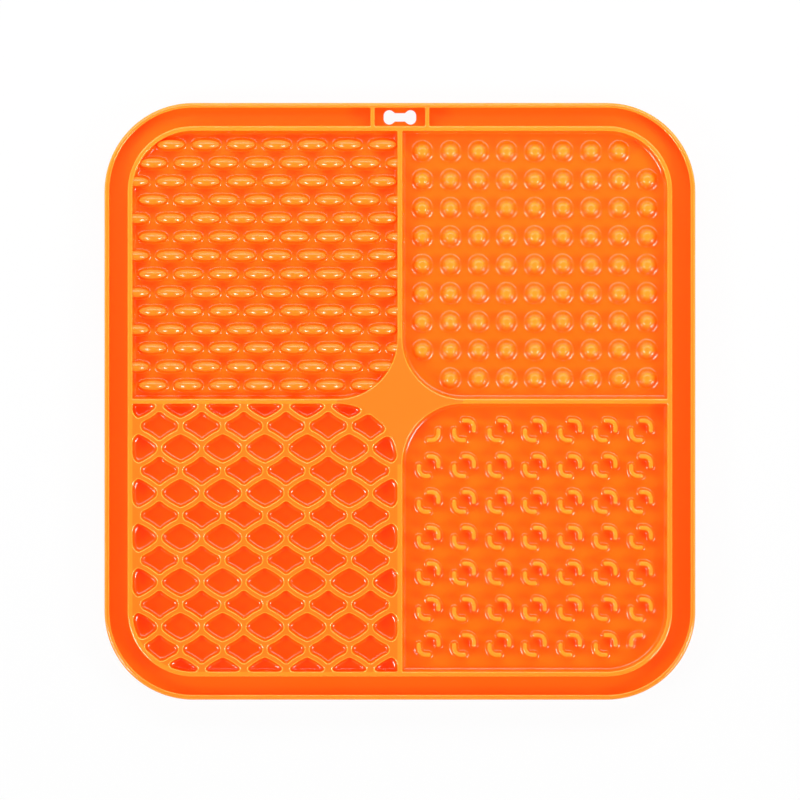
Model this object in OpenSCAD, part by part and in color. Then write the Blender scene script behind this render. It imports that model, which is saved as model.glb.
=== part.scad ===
// A square silicone lick mat that is moulded in one colour. Two rims with a
// spill channel between them run round four fields, which a cross with a
// four-pointed star at its centre keeps apart. Each field has a texture of its
// own: oval bumps, round studs, a lattice of wavy strands, and short arc ribs.
// A bone-shaped hole in the channel hangs the mat up, and suction cups under
// the sheet hold it down. X runs left to right, Y from front to back, and the
// tips of the suction cups stand on Z = 0.

/* [Mat] */
// Width of the mat, left to right
mat_w = 200; // [184:1:240]
// Length of the mat, front to back
mat_l = 202; // [184:1:240]
// Radius of the mat's outer corners
corner_r = 30; // [24:0.5:36]
// Thickness of the base sheet
sheet_t = 1.4; // [1:0.1:2.4]
// Radius along the lower outer edge of the sheet
under_r = 0.5; // [0.2:0.1:0.8]
// Thickness of the field floors that lie on the sheet
tile_t = 0.6; // [0.4:0.1:0.8]

/* [Walls] */
// Height of the rims and the cross above the sheet
wall_h = 5.6; // [5.3:0.1:8]
// Thickness of the rims and the cross
wall_t = 1.65; // [1.4:0.05:2.4]
// Width of the spill channel between the rims
channel_w = 6.2; // [5.4:0.1:8]
// Radius along the top edges of the walls
edge_r = 0.45; // [0.2:0.05:0.6]
// Radius of the outer shoulder of the outer rim
shoulder_r = 0.9; // [0.5:0.05:1.1]
// Radius of the fillet round the floor of a field
fillet_r = 0.9; // [0.4:0.1:1.4]

/* [Hanging hole] */
// Clear width between the two ribs beside the hole
tab_w = 17.1; // [14:0.1:24]
// Thickness of those ribs
hanger_t = 1.4; // [1:0.05:2]
// Length of the bone-shaped hole
bone_l = 11; // [9.6:0.1:13]
// Width across each end of the bone
bone_w = 4.9; // [4.2:0.1:5.2]
// Radius of the four lobes of the bone
lobe_r = 1.9; // [1.6:0.05:2]
// Width of the bone's neck
neck_w = 2.85; // [2:0.05:3.4]
// Length of the bone's neck
neck_l = 3.4; // [2.6:0.1:3.8]

/* [Oval bumps] */
// Distance between the ovals of a row
oval_pitch_x = 12; // [11.6:0.1:14]
// Distance between the rows of ovals
oval_pitch_y = 6.27; // [5.6:0.01:8]
// Sideways offset of the whole pattern
oval_shift = 0.95; // [0:0.05:1.2]
// Length of an oval, between the tips of its foot
oval_l = 11.2; // [9:0.1:11.5]
// Width of an oval, across its foot
oval_w = 4.9; // [4:0.1:5.5]
// Height of an oval above the field floor
oval_h = 4.6; // [3:0.1:5]

/* [Round studs] */
// Distance between studs, left to right
stud_pitch_x = 9.52; // [8.6:0.01:12]
// Distance between studs, front to back
stud_pitch_y = 9.62; // [8.6:0.01:12]
// Diameter of a stud where its side would meet the floor
stud_foot_d = 6.9; // [5.5:0.1:7]
// Diameter of a stud where its side would meet its top
stud_top_d = 4.9; // [4:0.1:5.4]
// Height of a stud above the field floor
stud_h = 4.6; // [3:0.1:5]
// Radius round the top of a stud
stud_top_r = 1.2; // [0.6:0.1:1.4]
// Radius of the fillet at the foot of a stud
stud_fillet_r = 0.7; // [0.3:0.1:0.8]

/* [Lattice] */
// Distance between lattice cells, left to right
cell_pitch_x = 14.28; // [13.6:0.01:18]
// Number of lattice cells from front to back
cell_rows = 6; // [4:1:6]
// Length of a cell, left to right
cell_l = 12.6; // [11:0.1:13]
// Width of a cell, front to back
cell_w = 9.55; // [8:0.05:10]
// Radius of a cell's left and right corners
cell_side_r = 1.9; // [1:0.1:2.2]
// Radius of a cell's front and back corners
cell_end_r = 1.4; // [0.8:0.1:1.8]
// How far the strands bow from straight
strand_bow = 0.2; // [0.1:0.02:0.3]

/* [Arc ribs] */
// Distance between the pairs of ribs, left to right
arc_pitch_x = 11.98; // [10.6:0.01:14]
// Distance between the pairs of ribs, front to back
arc_pitch_y = 12.1; // [10.6:0.01:14]
// Distance from the centre of a pair to the middle of a rib's leg
arc_half = 3.33; // [2.8:0.01:4]
// Radius of the bend, at the middle of the rib
arc_bend_r = 2.35; // [1.6:0.05:2.7]
// Thickness of a rib
arc_t = 1.5; // [1.2:0.05:1.8]
// Height of a rib above the field floor
arc_h = 4.6; // [3:0.1:5]

/* [Suction cups] */
// Number of suction cups in a row, and of rows
cup_count = 5; // [3:2:5]
// Distance between suction cups
cup_pitch = 38; // [30:1:40]
// Diameter of a cup at its lip
cup_d = 16; // [12:0.5:20]
// Height of a cup, which is how far the sheet stands off the ground
cup_h = 3; // [2.6:0.1:5]
// Height of the cup's outer dome above its lip
cup_dome_h = 2.2; // [2:0.1:2.4]
// Depth of the hollow under a cup
cup_hollow_h = 1.4; // [1:0.1:1.5]
// Width of the flat lip that touches the ground
cup_lip_w = 0.6; // [0.4:0.1:1]
// Diameter of the neck between a cup and the sheet
cup_neck_d = 7; // [5:0.1:9]

/* [Hidden] */
$fn = 48;
// Fineness of the small bumps
bump_fn = 32;
// Extra length that takes a cut clear through a surface
overrun = 0.1;

// Heights of the sheet, of the floor of the channel and of the wall tops
sheet_z = cup_h;
floor_z = sheet_z + sheet_t;
field_h = wall_h - tile_t;

// Outlines from the outer edge inwards
channel_inset = wall_t;
frame_inset = wall_t + channel_w;
field_inset = frame_inset + wall_t;
frame_w = mat_w - 2 * frame_inset;
frame_l = mat_l - 2 * frame_inset;
frame_r = corner_r - frame_inset;
field_r = corner_r - field_inset;
field_w = (frame_w - 3 * wall_t) / 2;
field_l = (frame_l - 3 * wall_t) / 2;

// The star ends where the round inner corners of the fields begin
star_half = field_r + wall_t / 2;

// A copy of a clipped texture is kept if its centre lies no further than this
// outside the field
clip_reach = 1.5;

// Foot of a stud, out to the edge of its fillet
stud_reach = stud_foot_d / 2 + stud_fillet_r;

// Outlines

module round_rect(w, l, r) {
    square([w - 2 * r, l], center = true);
    square([w, l - 2 * r], center = true);
    for (x = [-1, 1], y = [-1, 1])
        translate([x * (w / 2 - r), y * (l / 2 - r)]) circle(r);
}

// Outline of a field: round at two opposite corners and square at the others
module leaf() {
    flat_w = field_w - 2 * field_r;
    flat_l = field_l - 2 * field_r;
    square([flat_w, field_l], center = true);
    square([field_w, flat_l], center = true);
    for (turn = [0, 180]) rotate(turn) {
        translate([flat_w / 2, flat_l / 2]) circle(field_r);
        translate([-field_w / 2, flat_l / 2]) square(field_r);
    }
}

// True where a point lies inside the leaf outline grown by some margin
function in_corner(x, y, grow) =
    norm([x - field_w / 2 + field_r, y - field_l / 2 + field_r]) < field_r + grow;
function in_leaf(x, y, grow) =
    abs(x) < field_w / 2 + grow && abs(y) < field_l / 2 + grow
    && (x < field_w / 2 - field_r || y < field_l / 2 - field_r || in_corner(x, y, grow))
    && (-x < field_w / 2 - field_r || -y < field_l / 2 - field_r || in_corner(-x, -y, grow));

// Sweeps a profile round a rounded rectangle. The profile's X points out of
// the outline and its Y points up.
module sweep_round_rect(w, l, r) {
    for (turn = [0, 180]) rotate(turn) {
        translate([w / 2, l / 2 - r]) rotate([90, 0, 0])
            linear_extrude(l - 2 * r) children();
        translate([-w / 2 + r, l / 2]) rotate([90, 0, 90])
            linear_extrude(w - 2 * r) children();
        for (side = [0, 1]) mirror([side, 0])
            translate([w / 2 - r, l / 2 - r]) rotate_extrude(angle = 90)
                translate([r, 0]) children();
    }
}

// Sweeps a profile round the leaf outline in the same way
module sweep_leaf() {
    for (turn = [0, 180]) rotate(turn) {
        translate([field_w / 2, field_l / 2 - field_r]) rotate([90, 0, 0])
            linear_extrude(field_l - field_r) children();
        translate([-field_w / 2, field_l / 2]) rotate([90, 0, 90])
            linear_extrude(field_w - field_r) children();
        translate([field_w / 2 - field_r, field_l / 2 - field_r])
            rotate_extrude(angle = 90) translate([field_r, 0]) children();
    }
}

// What a rounding takes off an edge whose solid lies at X > 0 and Y < 0
module edge_cut(r) {
    difference() {
        translate([-overrun, -r]) square([r + overrun, r + overrun]);
        translate([r, -r]) circle(r);
    }
}

// What a fillet adds in the corner between a wall at X = 0 and a floor at Y = 0
module fillet_fill(r) {
    difference() {
        translate([-r, 0]) square(r);
        translate([-r, r]) circle(r);
    }
}

// Walls

// The inner rim, the cross and the star in one: a block with four leaf pockets
module frame_block() {
    difference() {
        linear_extrude(wall_h) round_rect(frame_w, frame_l, frame_r);
        translate([0, 0, wall_h]) sweep_round_rect(frame_w, frame_l, frame_r)
            mirror([1, 0]) edge_cut(edge_r);
        for (side = [-1, 1], end = [-1, 1]) at_field(side, end) {
            translate([0, 0, -overrun]) linear_extrude(wall_h + 2 * overrun) leaf();
            translate([0, 0, wall_h]) sweep_leaf() edge_cut(edge_r);
        }
    }
}

// Puts a field's shape in its place, with its round corners where the mat's
// corner and the star are
module at_field(side, end) {
    translate([side * (field_w + wall_t) / 2, end * (field_l + wall_t) / 2])
        mirror([side == end ? 0 : 1, 0]) children();
}

module inner_rim() {
    color("darkorange") translate([0, 0, floor_z]) difference() {
        frame_block();
        translate([0, 0, -overrun]) linear_extrude(wall_h + 2 * overrun)
            round_rect(frame_w - 2 * wall_t, frame_l - 2 * wall_t, field_r);
    }
}

// A wall that runs back from the origin, with its top edges rounded
module wall_run(length, thickness) {
    rotate([90, 0, 180]) linear_extrude(length) difference() {
        translate([-thickness / 2, 0]) square([thickness, wall_h]);
        for (face = [0, 1]) mirror([face, 0])
            translate([-thickness / 2, wall_h]) edge_cut(edge_r);
    }
}

// One arm of the cross, between the star and the inner rim
module divider(turn, reach) {
    color("orange") rotate(turn) translate([0, star_half, floor_z])
        wall_run(reach - wall_t - star_half, wall_t);
}

module divider_back() {
    divider(0, frame_l / 2);
}

module divider_front() {
    divider(180, frame_l / 2);
}

module divider_left() {
    divider(90, frame_w / 2);
}

module divider_right() {
    divider(-90, frame_w / 2);
}

module centre_star() {
    color("sandybrown") translate([0, 0, floor_z]) intersection() {
        frame_block();
        translate([-star_half, -star_half, 0]) cube([2 * star_half, 2 * star_half, wall_h]);
    }
}

module outer_rim() {
    inner_w = mat_w - 2 * channel_inset;
    inner_l = mat_l - 2 * channel_inset;
    inner_r = corner_r - channel_inset;
    color("darkorange") translate([0, 0, floor_z]) difference() {
        linear_extrude(wall_h) difference() {
            round_rect(mat_w, mat_l, corner_r);
            round_rect(inner_w, inner_l, inner_r);
        }
        translate([0, 0, wall_h]) sweep_round_rect(mat_w, mat_l, corner_r)
            mirror([1, 0]) edge_cut(shoulder_r);
        translate([0, 0, wall_h]) sweep_round_rect(inner_w, inner_l, inner_r)
            edge_cut(edge_r);
    }
}

// Sheet

module base_sheet() {
    color("orangered") translate([0, 0, sheet_z])
        linear_extrude(sheet_t) round_rect(frame_w, frame_l, frame_r);
}

// Middle of the channel at the back, where the hanging hole is
tab_y = mat_l / 2 - wall_t - channel_w / 2;

module channel_floor() {
    color("orangered") translate([0, 0, sheet_z]) difference() {
        linear_extrude(sheet_t) difference() {
            round_rect(mat_w, mat_l, corner_r);
            round_rect(frame_w, frame_l, frame_r);
            translate([0, tab_y]) square([tab_w, channel_w], center = true);
        }
        sweep_round_rect(mat_w, mat_l, corner_r)
            mirror([1, 0]) mirror([0, 1]) edge_cut(under_r);
    }
}

// Where a line from a point outside a circle touches it, on its upper side
function tangent_point(p, centre, r) =
    let (
        d = centre - p,
        span = norm(d),
        angle = atan2(d.y, d.x) + asin(r / span)
    )
    p + sqrt(span * span - r * r) * [cos(angle), sin(angle)];

module bone() {
    lobe = [bone_l / 2 - lobe_r, bone_w / 2 - lobe_r];
    neck = [neck_l / 2, neck_w / 2];
    touch = tangent_point(neck, lobe, lobe_r);
    square([neck_l, neck_w], center = true);
    for (side = [0, 1]) mirror([side, 0]) {
        polygon([
            [neck.x, -neck.y], [touch.x, -touch.y], [lobe.x, -lobe.y],
            [lobe.x, lobe.y], [touch.x, touch.y], [neck.x, neck.y]
        ]);
        translate([lobe.x, -lobe.y]) square([lobe_r, 2 * lobe.y]);
        for (end = [-1, 1]) translate([lobe.x, end * lobe.y]) circle(lobe_r);
    }
}

module hanging_tab() {
    color("tomato") translate([0, tab_y, sheet_z]) linear_extrude(sheet_t) difference() {
        square([tab_w, channel_w], center = true);
        bone();
    }
}

module hanger_rib(side) {
    color("orange") translate([side * (tab_w + hanger_t) / 2, tab_y - channel_w / 2, floor_z])
        wall_run(channel_w, hanger_t);
}

module hanger_rib_left() {
    hanger_rib(-1);
}

module hanger_rib_right() {
    hanger_rib(1);
}

// Fields

// Floor of a field, with a fillet all round where it meets the walls
module field_floor(side, end) {
    at_field(side, end) {
        linear_extrude(tile_t) leaf();
        translate([0, 0, tile_t]) sweep_leaf() fillet_fill(fillet_r);
    }
}

// Moves to the middle of a field, at the height of its floor
module on_floor(side, end) {
    translate([side * (field_w + wall_t) / 2, end * (field_l + wall_t) / 2, tile_t])
        children();
}

// Half of a bump's section: a fillet at its foot, a sloping side and a
// rounded top
module bump_profile(foot, top, h, top_r, foot_r) {
    lean = atan2(foot - top, h);
    out = [cos(lean), sin(lean)];
    top_c = [foot - (foot - top) * (h - top_r) / h - top_r / out.x, h - top_r];
    foot_c = [foot - (foot - top) * foot_r / h + foot_r / out.x, foot_r];
    top_touch = top_c + top_r * out;
    foot_touch = foot_c - foot_r * out;
    difference() {
        polygon([[0, 0], [foot_c.x, 0], foot_touch, top_touch, [top_c.x, h], [0, h]]);
        translate(foot_c) circle(foot_r);
    }
    translate(top_c) circle(top_r);
}

module stud() {
    rotate_extrude($fn = bump_fn)
        bump_profile(stud_foot_d / 2, stud_top_d / 2, stud_h, stud_top_r, stud_fillet_r);
}

// An oval is revolved and then drawn out sideways. It has a fillet at its foot,
// a sloping side and a flat top.
module oval() {
    fillet_share = 0.2;
    top_share = 0.64;
    half = oval_w / 2;
    fillet = fillet_share * half;
    scale([oval_l / oval_w, 1, 1]) rotate_extrude() difference() {
        polygon([
            [0, 0], [half, 0], [half - fillet, fillet], [top_share * half, oval_h], [0, oval_h]
        ]);
        translate([half, fillet]) circle(fillet);
    }
}

module oval_field() {
    rows = floor((field_l - oval_w) / oval_pitch_y) + 1;
    reach = ceil(field_w / oval_pitch_x / 2);
    color("orange") translate([0, 0, floor_z]) {
        at_field(-1, 1) linear_extrude(tile_t) leaf();
        on_floor(-1, 1) intersection() {
            for (row = [0:rows - 1], n = [-reach:reach]) {
                step = row % 2 == 0 ? oval_pitch_x / 4 : -oval_pitch_x / 4;
                x = oval_shift + step + n * oval_pitch_x;
                y = ((rows - 1) / 2 - row) * oval_pitch_y;
                if (in_leaf(-x, y, clip_reach)) translate([x, y]) oval();
            }
            mirror([1, 0]) linear_extrude(wall_h) leaf();
        }
    }
}

module stud_field() {
    columns = floor((field_w - 2 * stud_reach) / stud_pitch_x) + 1;
    rows = floor((field_l - 2 * stud_reach) / stud_pitch_y) + 1;
    color("orange") translate([0, 0, floor_z]) {
        field_floor(1, 1);
        on_floor(1, 1) for (column = [0:columns - 1], row = [0:rows - 1]) {
            x = (column - (columns - 1) / 2) * stud_pitch_x;
            y = (row - (rows - 1) / 2) * stud_pitch_y;
            if (in_leaf(x, y, -stud_reach)) translate([x, y]) stud();
        }
    }
}

function arc_points(centre, r, from, to, steps) = [
    for (i = [0:steps])
        let (turn = from + (to - from) * i / steps) centre + r * [cos(turn), sin(turn)]
];

// Outline of one cell of the lattice. Its corners are round and its four
// sloping sides bow outwards for bow = 1 and inwards for bow = -1.
function cell_outline(bow) =
    let (
        side_c = [cell_l / 2 - cell_side_r, 0],
        end_c = [0, cell_w / 2 - cell_end_r],
        tilt = acos((cell_end_r - cell_side_r) / norm(end_c - side_c)),
        lean = tilt - atan2(end_c.y, side_c.x),
        facing = [cos(lean), sin(lean)],
        chord_mid = (side_c + end_c + (cell_side_r + cell_end_r) * facing) / 2,
        mid = chord_mid + bow * strand_bow * facing
    )
    concat(
        arc_points(side_c, cell_side_r, -lean, lean, 5),
        [mid],
        arc_points(end_c, cell_end_r, lean, 180 - lean, 3),
        [[-mid.x, mid.y]],
        arc_points(-side_c, cell_side_r, 180 - lean, 180 + lean, 5),
        [-mid],
        arc_points(-end_c, cell_end_r, 180 + lean, 360 - lean, 3),
        [[mid.x, -mid.y]]
    );

module lattice_field() {
    pitch_y = field_l / cell_rows;
    reach_x = ceil(field_w / cell_pitch_x / 2);
    reach_y = ceil(cell_rows / 2);
    color("gold") translate([0, 0, floor_z]) {
        at_field(-1, -1) linear_extrude(tile_t) leaf();
        on_floor(-1, -1) linear_extrude(field_h) difference() {
            leaf();
            for (i = [-reach_x:reach_x], j = [-reach_y:reach_y]) {
                x = i * cell_pitch_x;
                y = j * pitch_y;
                if (in_leaf(x, y, clip_reach)) translate([x, y]) polygon(cell_outline(1));
            }
            for (i = [-reach_x:reach_x - 1], j = [-reach_y:reach_y - 1]) {
                x = (i + 1 / 2) * cell_pitch_x;
                y = (j + 1 / 2) * pitch_y;
                if (in_leaf(x, y, clip_reach)) translate([x, y]) polygon(cell_outline(-1));
            }
        }
    }
}

// Outline of a rib with two short legs, a bend between them and round ends
module arc_rib() {
    leg = arc_half - arc_bend_r;
    translate([leg, leg]) intersection() {
        difference() {
            circle(arc_bend_r + arc_t / 2);
            circle(arc_bend_r - arc_t / 2);
        }
        square(arc_half);
    }
    for (swap = [0, 1]) mirror([swap, -swap]) {
        translate([0, arc_half - arc_t / 2]) square([leg, arc_t]);
        translate([0, arc_half]) circle(arc_t / 2);
    }
}

module arc_field() {
    arc_reach = arc_half + arc_t;
    columns = floor((field_w - 2 * arc_reach) / arc_pitch_x) + 1;
    rows = floor((field_l - 2 * arc_reach) / arc_pitch_y) + 1;
    color("orange") translate([0, 0, floor_z]) {
        field_floor(1, -1);
        on_floor(1, -1) linear_extrude(arc_h) for (column = [0:columns - 1], row = [0:rows - 1]) {
            x = (column - (columns - 1) / 2) * arc_pitch_x;
            y = ((rows - 1) / 2 - row) * arc_pitch_y;
            // At a round corner only the rib that faces the field's middle is left
            turns = in_leaf(-x, y, -arc_reach) ? [0, 180] : x < 0 ? [-90] : [90];
            for (turn = turns) translate([x, y]) rotate(turn) arc_rib();
        }
    }
}

// Underside

// A shallow dome that is hollow below, on a short neck, with a flat lip
module suction_cup() {
    lip_r = cup_d / 2;
    hollow_r = lip_r - cup_lip_w;
    dome_sphere_r = (lip_r * lip_r + cup_dome_h * cup_dome_h) / (2 * cup_dome_h);
    hollow_sphere_r = (hollow_r * hollow_r + cup_hollow_h * cup_hollow_h) / (2 * cup_hollow_h);
    rotate_extrude() difference() {
        union() {
            intersection() {
                translate([0, cup_dome_h - dome_sphere_r]) circle(dome_sphere_r);
                square([lip_r, cup_dome_h]);
            }
            translate([0, cup_dome_h / 2]) square([cup_neck_d / 2, cup_h - cup_dome_h / 2]);
        }
        translate([0, cup_hollow_h - hollow_sphere_r]) circle(hollow_sphere_r);
    }
}

module suction_cups() {
    last = (cup_count - 1) / 2;
    color("coral") for (i = [-last:last], j = [-last:last])
        translate([i * cup_pitch, j * cup_pitch]) suction_cup();
}

base_sheet();
channel_floor();
hanging_tab();
outer_rim();
inner_rim();
divider_back();
divider_front();
divider_left();
divider_right();
centre_star();
hanger_rib_left();
hanger_rib_right();
oval_field();
stud_field();
lattice_field();
arc_field();
suction_cups();
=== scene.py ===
"""The looks of a square silicone lick mat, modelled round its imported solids.

Lengths are in millimetres until a piece is finished, and metres after that.
X runs to the right, Y to the edge with the hanging hole, and Z out of the
textured face. The seen pieces are rings of points stacked into closed
meshes, which are then joined, cut and split along the solids' own outlines.
"""

import functools
import math

import bpy
import numpy as np
from mathutils import Matrix, Vector


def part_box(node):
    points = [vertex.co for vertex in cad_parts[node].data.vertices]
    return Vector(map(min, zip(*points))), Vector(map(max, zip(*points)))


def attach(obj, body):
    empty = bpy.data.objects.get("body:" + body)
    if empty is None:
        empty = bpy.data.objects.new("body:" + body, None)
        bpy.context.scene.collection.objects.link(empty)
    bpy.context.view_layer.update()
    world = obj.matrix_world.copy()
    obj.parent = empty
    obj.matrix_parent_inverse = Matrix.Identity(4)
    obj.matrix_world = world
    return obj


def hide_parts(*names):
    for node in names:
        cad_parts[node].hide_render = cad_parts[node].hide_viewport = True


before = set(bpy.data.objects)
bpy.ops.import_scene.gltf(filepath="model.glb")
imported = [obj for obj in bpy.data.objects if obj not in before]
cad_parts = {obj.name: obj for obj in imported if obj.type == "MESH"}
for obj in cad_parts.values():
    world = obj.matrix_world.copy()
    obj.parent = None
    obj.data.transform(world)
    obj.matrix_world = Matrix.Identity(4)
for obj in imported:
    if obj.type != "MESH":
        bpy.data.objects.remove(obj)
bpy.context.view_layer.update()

MM = 0.001


@functools.cache
def box_mm(node):
    """The lowest and highest corners of a node, in millimetres."""
    low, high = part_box(node)
    return np.array(low) / MM, np.array(high) / MM


# Sizes taken from the frame
RIM_LOW, RIM_HIGH = box_mm("outer_rim")
FRAME_LOW, FRAME_HIGH = box_mm("inner_rim")
TAB_LOW, TAB_HIGH = box_mm("hanging_tab")
ARM_LOW, ARM_HIGH = box_mm("divider_back")
MAT_W, MAT_L = RIM_HIGH[:2] - RIM_LOW[:2]
FRAME_W, FRAME_L = FRAME_HIGH[:2] - FRAME_LOW[:2]
WALL = ARM_HIGH[0] - ARM_LOW[0]
CHANNEL = (MAT_W - FRAME_W) / 2 - WALL
TAB_W = TAB_HIGH[0] - TAB_LOW[0]
TAB_Y = (TAB_LOW[1] + TAB_HIGH[1]) / 2
STAR_HALF = box_mm("centre_star")[1][0]
HANGER_X = box_mm("hanger_rib_right")[1][0]
SHEET_Z = box_mm("channel_floor")[0][2]
CHANNEL_Z = RIM_LOW[2]
# The top is a hair low, so that rounding doesn't lift it out of the solids' box
HAIR = 0.001
TOP_Z = RIM_HIGH[2] - HAIR

# Sizes that the frame's boxes don't give
CORNER_R = 30.0
FLOOR_T = 0.6
FLOOR_Z = CHANNEL_Z + FLOOR_T
FRAME_R = CORNER_R - WALL - CHANNEL
FIELD_R = FRAME_R - WALL
BUMP_H = 4.6
# Radius of the corners where two walls meet square
NOOK_R = 0.45
# Radii of the mat's outer top edge, and of the walls' other top edges but those
# along the lattice
SHOULDER_R = 0.9
EDGE_R = 0.42
# Radius between the walls and the floor of a field with bumps
FIELD_FILLET = 1.4

# How far a cutter reaches past what it cuts
CUT = 1.0
LOW_CUT_Z = CHANNEL_Z - CUT
HIGH_CUT_Z = TOP_Z + CUT

# The side of the mat in X and its end in Y that each field lies at
FIELDS = {
    "oval_field": (-1, 1),
    "stud_field": (1, 1),
    "lattice_field": (-1, -1),
    "arc_field": (1, -1),
}

# Points on a quarter turn, by the kind of corner
MAT_POINTS = 40
CHANNEL_POINTS = 30
FIELD_POINTS = 26
NOOK_POINTS = 7
# An outline that shrinks keeps its corners at least this round
SMALLEST_R = 0.06


# Outlines

def arc(cx, cy, radius, start, stop, count):
    """Points on an arc, with the angles in degrees."""
    a = np.radians(np.linspace(start, stop, count))
    return np.stack([cx + radius * np.cos(a), cy + radius * np.sin(a)], 1)


def even_turns(count):
    """Angles in radians that divide a full turn evenly."""
    return np.radians(np.arange(count) * 360 / count)


def rect_rings(centre, width, length, radii, count):
    """A function that gives a rectangle's outline grown by some distance. The
    rectangle has its own radius at each corner, from +X +Y round."""
    signs = ((1, 1), (-1, 1), (-1, -1), (1, -1))

    def ring(grow):
        corners = []
        for k, (sx, sy) in enumerate(signs):
            radius = max(radii[k] + grow, SMALLEST_R)
            cx = centre[0] + sx * ((width + 2 * grow) / 2 - radius)
            cy = centre[1] + sy * ((length + 2 * grow) / 2 - radius)
            corners.append(arc(cx, cy, radius, 90 * k, 90 * k + 90, count))
        return np.concatenate(corners)
    return ring


def along_normals(points):
    """A function that gives a closed outline grown along its own normals."""
    tangent = np.roll(points, -1, 0) - np.roll(points, 1, 0)
    tangent /= np.linalg.norm(tangent, axis=1)[:, None]
    normal = np.stack([tangent[:, 1], -tangent[:, 0]], 1)

    def ring(grow):
        return points + normal * grow
    return ring


def field_box(name):
    """Centre and size of a field in plan."""
    low, high = box_mm(name)
    return (low[:2] + high[:2]) / 2, high[:2] - low[:2]


def field_radii(name):
    """Corner radii of a field: round towards the mat's corner and the star."""
    side, end = FIELDS[name]
    return [FIELD_R, NOOK_R] * 2 if side == end else [NOOK_R, FIELD_R] * 2


def field_rings(name):
    """A function that gives a field's outline grown by some distance."""
    centre, size = field_box(name)
    return rect_rings(centre, size[0], size[1], field_radii(name), FIELD_POINTS)


def field_distance(name, points):
    """Signed distances from points to a field's outline, below 0 inside."""
    centre, size = field_box(name)
    radii = field_radii(name)
    q = np.array(points) - centre
    right = q[:, 0] > 0
    back = q[:, 1] > 0
    r = np.where(back, np.where(right, radii[0], radii[1]), np.where(right, radii[3], radii[2]))
    d = np.abs(q) - size / 2 + r[:, None]
    outside = np.linalg.norm(np.maximum(d, 0), axis=1)
    return np.minimum(d.max(1), 0) + outside - r


# Sections, as lists of (growth of the outline, height)

def bend(grow, z, radius, start, stop, count=7):
    """Part of a circle round (grow, z), with the angles in degrees."""
    a = np.radians(np.linspace(start, stop, count))
    return [(grow + radius * math.cos(t), z + radius * math.sin(t)) for t in a]


def flared_top(edge):
    """The rounded top edge of a hole, and the straight cut above it."""
    return bend(edge, TOP_Z - edge, edge, start=180, stop=92) + [(edge, HIGH_CUT_Z)]


# Meshes

def make_object(name, verts, faces):
    """A new object in the scene."""
    mesh = bpy.data.meshes.new(name)
    mesh.from_pydata(verts, [], faces)
    mesh.update()
    obj = bpy.data.objects.new(name, mesh)
    bpy.context.scene.collection.objects.link(obj)
    return obj


def ring_stack(rings):
    """Vertices and faces of rings of equal count, with a cap at each end.
    A ring is (points, z), and z is one height or one for each point."""
    n = len(rings[0][0])
    verts = []
    for points, z in rings:
        heights = np.broadcast_to(z, n)
        verts += np.column_stack([points, heights]).tolist()
    last = (len(rings) - 1) * n
    faces = []
    for low in range(0, last, n):
        for i in range(n):
            j = (i + 1) % n
            faces.append((low + i, low + j, low + n + j, low + n + i))
    faces.append(tuple(range(n - 1, -1, -1)))
    faces.append(tuple(range(last, last + n)))
    return verts, faces


def stack(ring, section):
    """Vertices and faces of a solid that follows an outline with a section."""
    return ring_stack([(ring(grow), z) for grow, z in section])


def gather(name, stacks):
    """One object of several separate stacks."""
    verts, faces = [], []
    for v, f in stacks:
        base = len(verts)
        verts += v
        faces += [tuple(base + i for i in face) for face in f]
    return make_object(name, verts, faces)


def shape(name, ring, section):
    """An object that follows an outline with a section."""
    return make_object(name, *stack(ring, section))


def slab(name, low, high):
    """A box between two corners."""
    points = np.array([(low[0], low[1]), (high[0], low[1]), (high[0], high[1]), (low[0], high[1])])
    return make_object(name, *ring_stack([(points, low[2]), (points, high[2])]))


def duplicate(obj, name):
    """A copy of an object with a mesh of its own."""
    copy = bpy.data.objects.new(name, obj.data.copy())
    bpy.context.scene.collection.objects.link(copy)
    return copy


def boolean(obj, other, operation, keep=False):
    """Joins, cuts or intersects obj with another closed mesh. The other is
    removed afterwards unless it is kept."""
    modifier = obj.modifiers.new("shape", "BOOLEAN")
    modifier.object = other
    modifier.operation = operation
    modifier.solver = "MANIFOLD"
    bpy.context.view_layer.update()
    graph = bpy.context.evaluated_depsgraph_get()
    mesh = bpy.data.meshes.new_from_object(obj.evaluated_get(graph))
    old = obj.data
    obj.modifiers.clear()
    obj.data = mesh
    mesh.name = old.name
    bpy.data.meshes.remove(old)
    if not keep:
        spent = other.data
        bpy.data.objects.remove(other)
        bpy.data.meshes.remove(spent)


SMOOTH_ANGLE = math.radians(38)
NORMAL_WEIGHT = 80


def paint(mesh, material):
    """Gives a mesh one material in place of those it has."""
    mesh.materials.clear()
    mesh.materials.append(material)


def finish_piece(obj, material, *nodes):
    """Scales a piece to metres, smooths it and puts it in its node's place."""
    obj.data.transform(Matrix.Scale(MM, 4))
    paint(obj.data, material)
    obj.data.shade_smooth()
    obj.data.set_sharp_from_angle(angle=SMOOTH_ANGLE)
    modifier = obj.modifiers.new("even", "WEIGHTED_NORMAL")
    modifier.keep_sharp = True
    modifier.weight = NORMAL_WEIGHT
    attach(obj, "root")
    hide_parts(*nodes)


# Shader nodes

def srgb(r, g, b):
    """A colour given in 0 to 255 as linear values."""
    out = []
    for value in (r, g, b):
        c = value / 255
        out.append(c / 12.92 if c <= 0.04045 else ((c + 0.055) / 1.055) ** 2.4)
    return (*out, 1.0)


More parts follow.
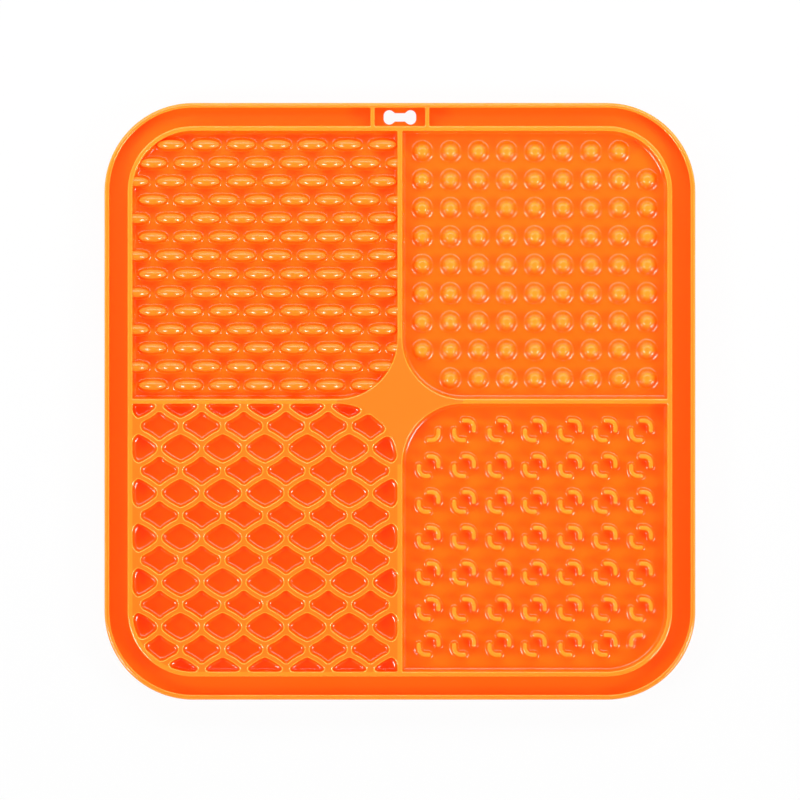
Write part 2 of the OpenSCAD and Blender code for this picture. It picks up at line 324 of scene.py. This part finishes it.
class Nodes:
    """Short calls to build the node tree of a material or of the world."""

    def __init__(self, owner):
        owner.use_nodes = True
        self.tree = owner.node_tree
        self.tree.nodes.clear()

    def add(self, kind, **values):
        """A new node with some of its properties set."""
        node = self.tree.nodes.new(kind)
        for key, value in values.items():
            setattr(node, key, value)
        return node

    def link(self, output, target):
        """Joins an output to an input."""
        self.tree.links.new(output, target)

    def value(self, node, **inputs):
        """Sets inputs, whose names have underscores for spaces."""
        for key, value in inputs.items():
            node.inputs[key.replace("_", " ")].default_value = value

    def parts(self, vector):
        """The outputs X, Y and Z of a vector."""
        node = self.add("ShaderNodeSeparateXYZ")
        self.link(vector, node.inputs[0])
        return node.outputs

    def noise(self, place, scale, detail):
        """A noise texture's value at a place."""
        node = self.add("ShaderNodeTexNoise")
        self.value(node, Scale=scale, Detail=detail)
        self.link(place, node.inputs["Vector"])
        return node.outputs["Fac"]

    def spread(self, source, start, stop, low=0.0, high=1.0, smooth=False):
        """A value of start to stop spread out over low to high."""
        kind = "SMOOTHSTEP" if smooth else "LINEAR"
        node = self.add("ShaderNodeMapRange", interpolation_type=kind)
        self.value(node, From_Min=start, From_Max=stop, To_Min=low, To_Max=high)
        self.link(source, node.inputs["Value"])
        return node.outputs["Result"]

    def mix(self, share, first, second):
        """A colour between two, each of which is a colour or an output."""
        node = self.add("ShaderNodeMix", data_type="RGBA")
        self.link(share, node.inputs["Factor"])
        # The colour sockets of a Mix node come after its number and vector ones
        for socket, colour in ((node.inputs[6], first), (node.inputs[7], second)):
            if isinstance(colour, tuple):
                socket.default_value = colour
            else:
                self.link(colour, socket)
        return node.outputs[2]

    def surface(self, kind, share, first, second):
        """Ends the tree, in an output of some kind, with a mix of two shaders."""
        mix = self.add("ShaderNodeMixShader")
        self.link(share, mix.inputs[0])
        self.link(first.outputs[0], mix.inputs[1])
        self.link(second.outputs[0], mix.inputs[2])
        out = self.add(kind)
        self.link(mix.outputs[0], out.inputs["Surface"])


# Silicone

ROUGH = 0.45
ROUGH_DRIFT = 0.03
SHEEN = 0.08
COAT = 1.0
COAT_ROUGH = 0.075
COAT_IOR = 1.75
# A painted red glow that fills the shade, standing in for light scattered inside the silicone
PAINTED_GLOW = (1.0, 0.03, 0.0, 1.0)
PAINTED_GLOW_STRENGTH = 0.3

# The normal's Z where a face stops being level, and where it counts as round and takes the full
# painted edge highlight
LEVEL = 0.999
ROUND = 0.93

# Clouds that make colour and gloss drift, and the grain, in waves to the metre
CLOUD_SCALE = 45.0
CLOUD_DETAIL = 3.0
COLOUR_DRIFT = 0.05
GRAIN_SCALE = 2600.0
GRAIN_DETAIL = 2.0
GRAIN_STRENGTH = 0.04
GRAIN_DEPTH = 0.0001
# Most of a noise texture's values lie between these
NOISE_LOW = 0.3
NOISE_HIGH = 0.7


def silicone(name, deep, flat, edge, low, high, coat=COAT, coat_rough=COAT_ROUGH):
    """Moulded silicone, which lets light into its thin parts. Its colour is deep
    at the height low, as painted shade, and grows paler up to the height high
    as painted light: flat on level faces and edge, a painted highlight, on
    rounded ones. Its red glow is painted light that stands for the light inside it."""
    material = bpy.data.materials.new(name)
    n = Nodes(material)
    geometry = n.add("ShaderNodeNewGeometry")
    place = geometry.outputs["Position"]
    # Painted light and shade: paler higher up, deeper low down
    height = n.spread(n.parts(place)["Z"], low * MM, high * MM, smooth=True)
    # Painted highlight on rounded edges, where the normal tilts away from level
    edge_highlight_share = n.spread(n.parts(geometry.outputs["Normal"])["Z"], LEVEL, ROUND, smooth=True)
    cloud = n.noise(place, CLOUD_SCALE, CLOUD_DETAIL)
    drift = n.spread(cloud, NOISE_LOW, NOISE_HIGH, -COLOUR_DRIFT, COLOUR_DRIFT)
    share = n.add("ShaderNodeMath", operation="ADD", use_clamp=True)
    n.link(height, share.inputs[0])
    n.link(drift, share.inputs[1])
    colour = n.mix(share.outputs[0], deep, n.mix(edge_highlight_share, flat, edge))
    rough = n.spread(cloud, NOISE_LOW, NOISE_HIGH, ROUGH - ROUGH_DRIFT, ROUGH + ROUGH_DRIFT)
    bump = n.add("ShaderNodeBump")
    n.value(bump, Strength=GRAIN_STRENGTH, Distance=GRAIN_DEPTH)
    n.link(n.noise(place, GRAIN_SCALE, GRAIN_DETAIL), bump.inputs["Height"])
    shader = n.add("ShaderNodeBsdfPrincipled")
    n.link(colour, shader.inputs["Base Color"])
    n.link(rough, shader.inputs["Roughness"])
    n.link(bump.outputs["Normal"], shader.inputs["Normal"])
    n.value(shader, Specular_IOR_Level=SHEEN, Coat_Weight=coat)
    n.value(shader, Coat_Roughness=coat_rough, Coat_IOR=COAT_IOR)
    # Painted red glow that fills the shade
    n.value(shader, Emission_Color=PAINTED_GLOW, Emission_Strength=PAINTED_GLOW_STRENGTH)
    out = n.add("ShaderNodeOutputMaterial")
    n.link(shader.outputs["BSDF"], out.inputs["Surface"])
    return material


# Colours low down, darker and redder as painted shade in the hollows
DEEP = srgb(255, 124, 8)
CELL = srgb(255, 121, 4)
MOAT = srgb(255, 126, 6)
# Colours of level tops, lit copies of one silicone: painted light, paler on thin walls and darker on
# the star and lattice
STAR = srgb(255, 138, 34)
RIM = srgb(255, 150, 36)
THIN = srgb(255, 158, 38)
STRAND = srgb(255, 135, 28)
# Colours of bump tops, level and rounded alike, painted lighter than the floor as painted light
OVAL = srgb(255, 145, 27)
STUD = srgb(255, 162, 36)
RIB = srgb(255, 166, 39)
# Painted highlights on rounded edges
EDGE_HIGHLIGHT = srgb(255, 182, 53)
RIM_EDGE_HIGHLIGHT = srgb(255, 172, 48)
STRAND_EDGE_HIGHLIGHT = srgb(255, 198, 62)

# Heights at which bumps reach the painted light of their tops
BUMP_Z = FLOOR_Z + 0.5 * BUMP_H
STUD_Z = FLOOR_Z + 0.8 * BUMP_H
# The ovals are a little matter than the rest
OVAL_COAT = 0.65
OVAL_ROUGH = 0.15

star_material = silicone("silicone_star", DEEP, STAR, EDGE_HIGHLIGHT, FLOOR_Z, TOP_Z)
rim_material = silicone("silicone_rim", DEEP, RIM, RIM_EDGE_HIGHLIGHT, FLOOR_Z, TOP_Z)
thin_material = silicone("silicone_thin", DEEP, THIN, EDGE_HIGHLIGHT, FLOOR_Z, TOP_Z)
lattice_material = silicone("silicone_lattice", CELL, STRAND, STRAND_EDGE_HIGHLIGHT, FLOOR_Z, TOP_Z)
oval_material = silicone("silicone_ovals", DEEP, OVAL, OVAL, FLOOR_Z, BUMP_Z, OVAL_COAT, OVAL_ROUGH)
stud_material = silicone("silicone_studs", DEEP, STUD, STUD, FLOOR_Z, STUD_Z)
rib_material = silicone("silicone_ribs", DEEP, RIB, RIB, FLOOR_Z, BUMP_Z)
sheet_material = silicone("silicone_sheet", MOAT, STAR, EDGE_HIGHLIGHT, SHEET_Z, TOP_Z)
cup_material = silicone("silicone_cups", MOAT, STAR, EDGE_HIGHLIGHT, 0, TOP_Z)


# Lattice cells

CELL_PITCH_X = 14.28
CELL_ROWS = 6
CELL_L = 12.6
CELL_W = 9.55
CELL_SIDE_R = 1.9
CELL_END_R = 1.4
# How far the side of a cell bows out or in at its middle
CELL_BOW = 0.2
CELL_EDGE = 0.36
CELL_FILLET = 1.3
# The part of a small cell's depth that its fillet may take
FILLET_SHARE = 0.8
# Where a cell meets the field's edge, the corner is rounded over this reach
CELL_BLEND = 2.2
# Cells whose centres lie further outside the field are left out
CELL_MARGIN = 1.5
CELL_POINTS = 72
# How deep in the field the rays start that find a cell's outline, and how many
# moves may take them there, down a slope that is measured over a small step
RAY_DEPTH = 2.4
RAY_MOVES = 3
PROBE = 0.01
# Halvings that find where a ray leaves the cell
RAY_HALVINGS = 30


def cell_distance(points, centre, bow):
    """Signed distances from points to one cell, whose sides bow out or in. A
    quarter of it is an arc at the side, an arc at the end and a flank."""
    q = np.abs(points - centre)
    side = np.array([CELL_L / 2 - CELL_SIDE_R, 0])
    end = np.array([0, CELL_W / 2 - CELL_END_R])
    lean = math.acos((CELL_END_R - CELL_SIDE_R) / math.hypot(side[0], end[1]))
    angle = lean - math.atan2(end[1], side[0])
    facing = np.array([math.cos(angle), math.sin(angle)])
    a = side + CELL_SIDE_R * facing
    b = end + CELL_END_R * facing
    t = (q - a) @ (b - a) / ((b - a) @ (b - a))
    flank = (q - a) @ facing - bow * CELL_BOW * 4 * t * (1 - t)
    at_side = np.linalg.norm(q - side, axis=1) - CELL_SIDE_R
    at_end = np.linalg.norm(q - end, axis=1) - CELL_END_R
    return np.where(t < 0, at_side, np.where(t > 1, at_end, flank))


def smooth_max(a, b, reach):
    """The larger of two distances, blended where they are close."""
    h = np.maximum(reach - np.abs(a - b), 0) / reach
    return np.maximum(a, b) + h * h * reach / 4


def cut_cell_distance(points, centre, bow):
    """Signed distances from points to a cell that the field's edge cuts off."""
    cell = cell_distance(points, centre, bow)
    edge = field_distance("lattice_field", points)
    return smooth_max(cell, edge, CELL_BLEND)


def ray_start(centre):
    """The cell's centre, moved in from the field's edge where it is near it."""
    start = centre
    steps = PROBE * np.array([[1, 0], [-1, 0], [0, 1], [0, -1]])
    for _ in range(RAY_MOVES):
        distance = field_distance("lattice_field", [start])[0]
        if distance > -RAY_DEPTH:
            d = field_distance("lattice_field", start + steps)
            slope = np.array([d[0] - d[1], d[2] - d[3]]) / (2 * PROBE)
            start = start - slope * (distance + RAY_DEPTH)
    return start


def cell_rings(centre, bow):
    """A function that gives a cut cell's outline grown by some distance, and
    the depth inside it from which that function walks out along rays."""
    start = ray_start(centre)
    turn = even_turns(CELL_POINTS)
    ray = np.stack([np.cos(turn), np.sin(turn)], 1)

    def ring(grow):
        near = np.zeros(CELL_POINTS)
        far = np.full(CELL_POINTS, CELL_L)
        for _ in range(RAY_HALVINGS):
            half = (near + far) / 2
            beyond = cut_cell_distance(start + ray * half[:, None], centre, bow) > grow
            far = np.where(beyond, half, far)
            near = np.where(beyond, near, half)
        return start + ray * near[:, None]

    return ring, -cut_cell_distance(start[None], centre, bow)[0]


def cell_plug(centre, bow):
    """What a cell takes out of the lattice, down to the fillet at its floor."""
    ring, depth = cell_rings(centre, bow)
    fillet = min(CELL_FILLET, FILLET_SHARE * depth)
    foot = bend(-fillet, FLOOR_Z + fillet, fillet, start=270, stop=360, count=8)
    return stack(ring, foot + flared_top(CELL_EDGE))


def cell_plugs():
    """Plugs of all cells that show in the field. Cells that bow out lie on one
    grid, and cells that bow in half a pitch further on."""
    middle, size = field_box("lattice_field")
    pitch = np.array([CELL_PITCH_X, size[1] / CELL_ROWS])
    steps = range(-CELL_ROWS, CELL_ROWS + 1)
    plugs = []
    for i in steps:
        for j in steps:
            for bow, half in ((1, 0.0), (-1, 0.5)):
                centre = middle + np.array([i + half, j + half]) * pitch
                if field_distance("lattice_field", [centre])[0] < CELL_MARGIN:
                    plugs.append(cell_plug(centre, bow))
    return gather("cells", plugs)


# Walls

# How far the cutters of the arms and ribs stop short of the walls they run into
STUB = 0.7


def channel_outline():
    """The channel, which starts and ends at the ribs beside the hanging hole."""
    x = MAT_W / 2 - CORNER_R
    y = MAT_L / 2 - CORNER_R
    corners = ((-x, y, 90), (-x, -y, 180), (x, -y, 270), (x, y, 0))
    outer_r = CORNER_R - WALL
    outer = [arc(cx, cy, outer_r, t, t + 90, CHANNEL_POINTS) for cx, cy, t in corners]
    inner = [arc(cx, cy, FRAME_R, t + 90, t, CHANNEL_POINTS) for cx, cy, t in reversed(corners)]
    rib_x = HANGER_X + NOOK_R
    back = MAT_L / 2 - WALL - NOOK_R
    front = FRAME_L / 2 + NOOK_R
    right_end = [
        arc(rib_x, back, NOOK_R, 90, 180, NOOK_POINTS),
        arc(rib_x, front, NOOK_R, 180, 270, NOOK_POINTS),
    ]
    left_end = [
        arc(-rib_x, front, NOOK_R, 270, 360, NOOK_POINTS),
        arc(-rib_x, back, NOOK_R, 0, 90, NOOK_POINTS),
    ]
    return np.concatenate(outer + right_end + inner + left_end)


def moulded_walls(cells):
    """All walls in one, as they are moulded, with every pocket cut out."""
    shoulder = bend(-SHOULDER_R, TOP_Z - SHOULDER_R, SHOULDER_R, start=6, stop=90, count=10)
    section = [(0, CHANNEL_Z), (0, TOP_Z - SHOULDER_R)] + shoulder
    walls = shape("walls", rect_rings((0, 0), MAT_W, MAT_L, [CORNER_R] * 4, MAT_POINTS), section)
    recess = rect_rings((0, TAB_Y), TAB_W, CHANNEL, [NOOK_R] * 4, NOOK_POINTS)
    pockets = [along_normals(channel_outline()), recess]
    pockets += [field_rings(name) for name in FIELDS if name != "lattice_field"]
    flared = [(0, LOW_CUT_Z)] + flared_top(EDGE_R)
    boolean(walls, gather("pockets", [stack(ring, flared) for ring in pockets]), "DIFFERENCE")
    straight = [(0, LOW_CUT_Z), (0, HIGH_CUT_Z)]
    boolean(walls, shape("opening", field_rings("lattice_field"), straight), "DIFFERENCE")
    boolean(walls, cells, "DIFFERENCE", keep=True)
    return walls


def wall_cutters():
    """Each wall but the outer rim, with the cutter that takes it out of the
    moulding. A cutter may reach over walls that came before it."""
    star = STAR_HALF
    yield "centre_star", slab("cut", (-star, -star, LOW_CUT_Z), (star, star, HIGH_CUT_Z))
    end_x = FRAME_W / 2 - WALL - STUB
    end_y = FRAME_L / 2 - WALL - STUB
    arms = {
        "divider_back": ((-WALL, 0), (WALL, end_y)),
        "divider_front": ((-WALL, -end_y), (WALL, 0)),
        "divider_left": ((-end_x, -WALL), (0, WALL)),
        "divider_right": ((0, -WALL), (end_x, WALL)),
    }
    for name, (low, high) in arms.items():
        yield name, slab("cut", (*low, LOW_CUT_Z), (*high, HIGH_CUT_Z))
    for name in ("hanger_rib_left", "hanger_rib_right"):
        low, high = box_mm(name)
        low = (low[0] - NOOK_R, low[1] + STUB, LOW_CUT_Z)
        high = (high[0] + NOOK_R, high[1] - STUB, HIGH_CUT_Z)
        yield name, slab("cut", low, high)
    middle_r = FRAME_R + CHANNEL / 2
    middle = rect_rings((0, 0), FRAME_W + CHANNEL, FRAME_L + CHANNEL, [middle_r] * 4, MAT_POINTS)
    yield "inner_rim", shape("cut", middle, [(0, LOW_CUT_Z), (0, HIGH_CUT_Z)])


def build_walls(cells):
    """Each wall as a piece of its own, split off one moulding."""
    walls = moulded_walls(cells)
    pieces = {}
    for name, cutter in wall_cutters():
        pieces[name] = duplicate(walls, name + "_look")
        boolean(pieces[name], cutter, "INTERSECT", keep=True)
        boolean(walls, cutter, "DIFFERENCE")
    walls.name = "outer_rim_look"
    pieces["outer_rim"] = walls
    wide_walls = {"outer_rim": rim_material, "centre_star": star_material}
    for name, piece in pieces.items():
        finish_piece(piece, wide_walls.get(name, thin_material), name)


# Fields

# How deep a bump reaches into its floor, and how far below the floor's face its
# fillet starts, so that no two faces are flush
SINK = 0.3
TOUCH = 0.006
# How far cut bumps reach into the walls
BITE = 0.05
# Rings of the fillet round an oval or stud, and its first and last angle
FOOT_RINGS = 8
FOOT_START = 4
FOOT_STOP = 80


def field_floor(name):
    """Floor of a field, with a fillet where it meets the walls."""
    f = FIELD_FILLET
    fillet = bend(-f, FLOOR_Z + f, f, start=355, stop=270, count=8)
    return shape(name + "_look", field_rings(name), [(0, CHANNEL_Z), (0, FLOOR_Z + f)] + fillet)


def bump_field(name, stacks, material, cut=False):
    """A field's floor joined with its bumps, which its edge may cut off."""
    bumps = gather("bumps", stacks)
    if cut:
        bound = shape("bound", field_rings(name), [(BITE, CHANNEL_Z), (BITE, TOP_Z)])
        boolean(bumps, bound, "INTERSECT")
    piece = field_floor(name)
    boolean(piece, bumps, "UNION")
    finish_piece(piece, material, name)


def foot_rings(foot, fillet):
    """Rings of the fillet round a bump, whose foot(inset) is an outline."""
    rings = [(foot(0), FLOOR_Z - SINK)]
    for t in np.radians(np.linspace(FOOT_START, FOOT_STOP, FOOT_RINGS)):
        rings.append((foot(fillet * math.sin(t)), FLOOR_Z - TOUCH + fillet * (1 - math.cos(t))))
    return rings


# Ovals

OVAL_PITCH_X = 12.0
OVAL_PITCH_Y = 6.27
OVAL_ROWS = 14
OVAL_SHIFT = 0.95
OVAL_FOOT = (5.62, 2.68)
OVAL_TOP = (4.5, 1.5)
OVAL_FILLET = 1.0
# How fast the crown of an oval falls off along it and across it
OVAL_FALL = (0.07, 0.22)
# The foot is blunter than an ellipse, whose power is 2, and less so higher up
OVAL_POWER = 2.9
OVAL_POWER_LOSS = 0.5
OVAL_POINTS = 50
# Rings of the crown, and the share of its size that the last one has
CROWN_RINGS = 9
CROWN_TIP = 0.06
# Ovals to each side of the middle, of which those far outside are left out
OVAL_REACH = 5
OVAL_MARGIN = 1.5


def superellipse(centre, a, b, power):
    """Outline with the half axes a and b: an ellipse where the power is 2."""
    turn = even_turns(OVAL_POINTS)
    c, s = np.cos(turn), np.sin(turn)
    x = np.sign(c) * np.abs(c) ** (2 / power)
    y = np.sign(s) * np.abs(s) ** (2 / power)
    return np.stack([centre[0] + a * x, centre[1] + b * y], 1)


def oval(centre):
    """An oval bump with a fillet at its foot and a domed crown."""
    def foot(inset):
        power = OVAL_POWER - OVAL_POWER_LOSS * inset / OVAL_FILLET
        return superellipse(centre, OVAL_FOOT[0] - inset, OVAL_FOOT[1] - inset, power)

    rings = foot_rings(foot, OVAL_FILLET)
    for share in np.linspace(1, CROWN_TIP, CROWN_RINGS):
        points = superellipse(centre, OVAL_TOP[0] * share, OVAL_TOP[1] * share, 2)
        drop = (points - centre) ** 2 @ np.array(OVAL_FALL)
        rings.append((points, FLOOR_Z + BUMP_H - drop))
    return ring_stack(rings)


def oval_field():
    """Rows of ovals, of which every second row is half a pitch further on."""
    middle, _ = field_box("oval_field")
    ovals = []
    for row in range(OVAL_ROWS):
        y = middle[1] + ((OVAL_ROWS - 1) / 2 - row) * OVAL_PITCH_Y
        step = OVAL_PITCH_X / 4 if row % 2 == 0 else -OVAL_PITCH_X / 4
        for k in range(-OVAL_REACH, OVAL_REACH + 1):
            x = middle[0] + OVAL_SHIFT + step + k * OVAL_PITCH_X
            if field_distance("oval_field", [(x, y)])[0] < OVAL_MARGIN:
                ovals.append(oval((x, y)))
    bump_field("oval_field", ovals, oval_material, cut=True)


# Studs

STUD_PITCH_X = 9.52
STUD_PITCH_Y = 9.62
STUD_COUNT = 9
STUD_FOOT = 4.06
STUD_FLAT = 0.8
STUD_EDGE = 1.25
STUD_FILLET = 1.3
STUD_POINTS = 48


def stud(centre):
    """A round bump with a fillet at its foot and a rounded top."""
    def circle(radius):
        return arc(*centre, radius, 0, 360 - 360 / STUD_POINTS, STUD_POINTS)

    rings = foot_rings(lambda inset: circle(STUD_FOOT - inset), STUD_FILLET)
    top = FLOOR_Z + BUMP_H - STUD_EDGE
    for radius, z in bend(STUD_FLAT, top, STUD_EDGE, start=18, stop=89, count=10):
        rings.append((circle(radius), z))
    return ring_stack(rings)


def stud_field():
    """A square grid of studs, without those that the round corners would cut."""
    middle, _ = field_box("stud_field")
    last = STUD_COUNT - 1
    studs = []
    for i in range(STUD_COUNT):
        for j in range(STUD_COUNT):
            x = middle[0] + (i - last / 2) * STUD_PITCH_X
            y = middle[1] + (j - last / 2) * STUD_PITCH_Y
            if field_distance("stud_field", [(x, y)])[0] < -STUD_FOOT:
                studs.append(stud((x, y)))
    bump_field("stud_field", studs, stud_material)


# Lattice

def lattice_field(cells):
    """A block as high as the walls, less its cells."""
    section = [(0, CHANNEL_Z), (0, TOP_Z)]
    piece = shape("lattice_field_look", field_rings("lattice_field"), section)
    boolean(piece, cells, "DIFFERENCE")
    finish_piece(piece, lattice_material, "lattice_field")


# Bent ribs

ARC_PITCH_X = 11.98
ARC_PITCH_Y = 12.1
ARC_COUNT = 7
# From a pair's centre to the middle line of its ribs
ARC_HALF = 3.33
ARC_BEND_R = 2.35
ARC_T = 1.5
ARC_FILLET = 1.0
ARC_EDGE = 0.4
ARC_POINTS = 12


def arc_rib(centre, turn):
    """A short rib with a bend in it and round ends, turned by some degrees."""
    leg = ARC_HALF - ARC_BEND_R
    half = ARC_T / 2
    parts = [
        arc(leg, leg, ARC_BEND_R + half, 0, 90, ARC_POINTS),
        arc(0, ARC_HALF, half, 90, 270, ARC_POINTS),
        arc(leg, leg, ARC_BEND_R - half, 90, 0, ARC_POINTS),
        arc(ARC_HALF, 0, half, 180, 360, ARC_POINTS),
    ]
    a = math.radians(turn)
    spin = np.array([[math.cos(a), math.sin(a)], [-math.sin(a), math.cos(a)]])
    ring = along_normals(np.concatenate(parts) @ spin + np.array(centre))
    f = ARC_FILLET
    top = FLOOR_Z + BUMP_H
    section = [(f, FLOOR_Z - SINK)]
    section += bend(f, FLOOR_Z - TOUCH + f, f, start=266, stop=190, count=8)
    section += bend(-ARC_EDGE, top - ARC_EDGE, ARC_EDGE, start=4, stop=88)
    return stack(ring, section)


def arc_field():
    """A grid of pairs of ribs, with one rib alone at each round corner."""
    middle, _ = field_box("arc_field")
    last = ARC_COUNT - 1
    alone = {(0, 0): [-90], (last, last): [90]}
    ribs = []
    for i in range(ARC_COUNT):
        for j in range(ARC_COUNT):
            x = middle[0] + (i - last / 2) * ARC_PITCH_X
            y = middle[1] + (last / 2 - j) * ARC_PITCH_Y
            ribs += [arc_rib((x, y), turn) for turn in alone.get((i, j), [0, 180])]
    bump_field("arc_field", ribs, rib_material)


# Floor

PAPER = (0.9, 0.9, 0.9, 1)
WHITE = (1, 1, 1, 1)
# How much of the paper the camera sees as plain white
PLAIN_SHARE = 0.95
PAPER_HALF = 3000.0


def paper_material():
    """White paper that the camera sees as plain white, with a faint shadow."""
    material = bpy.data.materials.new("white_floor")
    n = Nodes(material)
    diffuse = n.add("ShaderNodeBsdfDiffuse")
    n.value(diffuse, Color=PAPER)
    glow = n.add("ShaderNodeEmission")
    n.value(glow, Color=WHITE)
    path = n.add("ShaderNodeLightPath")
    share = n.add("ShaderNodeMath", operation="MULTIPLY")
    share.inputs[1].default_value = PLAIN_SHARE
    n.link(path.outputs["Is Camera Ray"], share.inputs[0])
    n.surface("ShaderNodeOutputMaterial", share.outputs[0], diffuse, glow)
    return material


def build_stage():
    """The floor that the mat lies on."""
    half = PAPER_HALF
    corners = [(-half, -half, 0), (half, -half, 0), (half, half, 0), (-half, half, 0)]
    floor = make_object("floor", corners, [(0, 1, 2, 3)])
    floor.data.transform(Matrix.Scale(MM, 4))
    paint(floor.data, paper_material())


# Light, with places and sizes in metres

# Level of the tent by height, from the horizon at 0 to the top at 1
TENT_STOPS = [(0.0, 0.35), (0.25, 1.0), (0.6, 1.0), (0.85, 0.3), (1.0, 0.12)]
TENT_STRENGTH = 0.45
# In reflections the tent is open to the front, where it is dark
FRONT_Y = -0.6
BACK_Y = 0.1
FRONT_STRENGTH = 0.06
BACK_STRENGTH = 0.3


def tent_ramp(n, height):
    """The tent's grey at a height."""
    ramp = n.add("ShaderNodeValToRGB")
    elements = ramp.color_ramp.elements
    while len(elements) < len(TENT_STOPS):
        elements.new(0.5)
    for element, (position, level) in zip(elements, TENT_STOPS):
        element.position = position
        element.color = (level, level, level, 1)
    n.link(height, ramp.inputs["Fac"])
    return ramp.outputs["Color"]


def build_world():
    """A white tent that is brightest half way up its walls. The camera itself
    sees it as plain white."""
    world = bpy.data.worlds.new("studio")
    bpy.context.scene.world = world
    n = Nodes(world)
    direction = n.parts(n.add("ShaderNodeTexCoord").outputs["Generated"])
    side = n.spread(direction["Y"], FRONT_Y, BACK_Y, FRONT_STRENGTH, BACK_STRENGTH, smooth=True)
    path = n.add("ShaderNodeLightPath")
    strength = n.add("ShaderNodeMix", data_type="FLOAT")
    n.link(path.outputs["Is Glossy Ray"], strength.inputs["Factor"])
    n.value(strength, A=TENT_STRENGTH)
    n.link(side, strength.inputs["B"])
    tent = n.add("ShaderNodeBackground")
    n.link(strength.outputs["Result"], tent.inputs["Strength"])
    n.link(tent_ramp(n, direction["Z"]), tent.inputs["Color"])
    white = n.add("ShaderNodeBackground")
    n.value(white, Color=WHITE, Strength=1.0)
    n.surface("ShaderNodeOutputWorld", path.outputs["Is Camera Ray"], tent, white)


def add_light(name, part, place, width, length, power):
    """A soft light aimed at the mat, which gives its shade or its shine."""
    light = bpy.data.lights.new(name, "AREA")
    light.shape = "RECTANGLE"
    light.size = width
    light.size_y = length
    light.energy = power
    obj = bpy.data.objects.new(name, light)
    bpy.context.scene.collection.objects.link(obj)
    obj.location = place
    aim = Vector((0, 0, TOP_Z * MM)) - Vector(place)
    obj.rotation_euler = aim.to_track_quat("-Z", "Y").to_euler()
    obj.visible_diffuse = part == "shade"
    obj.visible_glossy = part == "shine"


def add_lights():
    """Lights behind the mat and to both sides of it. Those for shade and those
    for shine stand apart, because one would hide another at its own place."""
    add_light("back_shade", "shade", (0, 0.32, 0.36), width=0.9, length=0.2, power=1.9)
    add_light("back_shine", "shine", (0, 0.29, 0.49), width=0.8, length=0.16, power=1.3)
    for side in (-1, 1):
        add_light("side_shade", "shade", (side * 0.8, -0.26, 0.65), width=0.4, length=0.3, power=3.7)
        add_light("front_shine", "shine", (side * 0.63, -0.38, 0.95), width=0.4, length=0.2, power=5.6)


# Camera

PX_PER_MM = 2.9555
IMAGE_PX = 800
# Where the mat's middle is in the photograph, from the picture's middle
RIGHT_PX = -0.1
DOWN_PX = 1.3
CAMERA_H = 3.2
SENSOR_W = 36.0
CLIP_END = 20


def build_camera():
    """Straight above the mat and far off, so that the view is nearly flat."""
    camera = bpy.data.cameras.new("camera")
    camera.type = "PERSP"
    camera.sensor_width = SENSOR_W
    camera.lens = SENSOR_W * CAMERA_H / (IMAGE_PX / PX_PER_MM * MM)
    camera.clip_end = CLIP_END
    obj = bpy.data.objects.new("camera", camera)
    bpy.context.scene.collection.objects.link(obj)
    obj.location = (-RIGHT_PX / PX_PER_MM * MM, DOWN_PX / PX_PER_MM * MM, TOP_Z * MM + CAMERA_H)
    bpy.context.scene.camera = obj


# The scene

cells = cell_plugs()
build_walls(cells)
oval_field()
stud_field()
lattice_field(cells)
arc_field()
for name in ("base_sheet", "channel_floor", "hanging_tab"):
    paint(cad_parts[name].data, sheet_material)
paint(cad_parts["suction_cups"].data, cup_material)

build_stage()
build_world()
add_lights()
build_camera()
bpy.context.scene.view_settings.view_transform = "Standard"
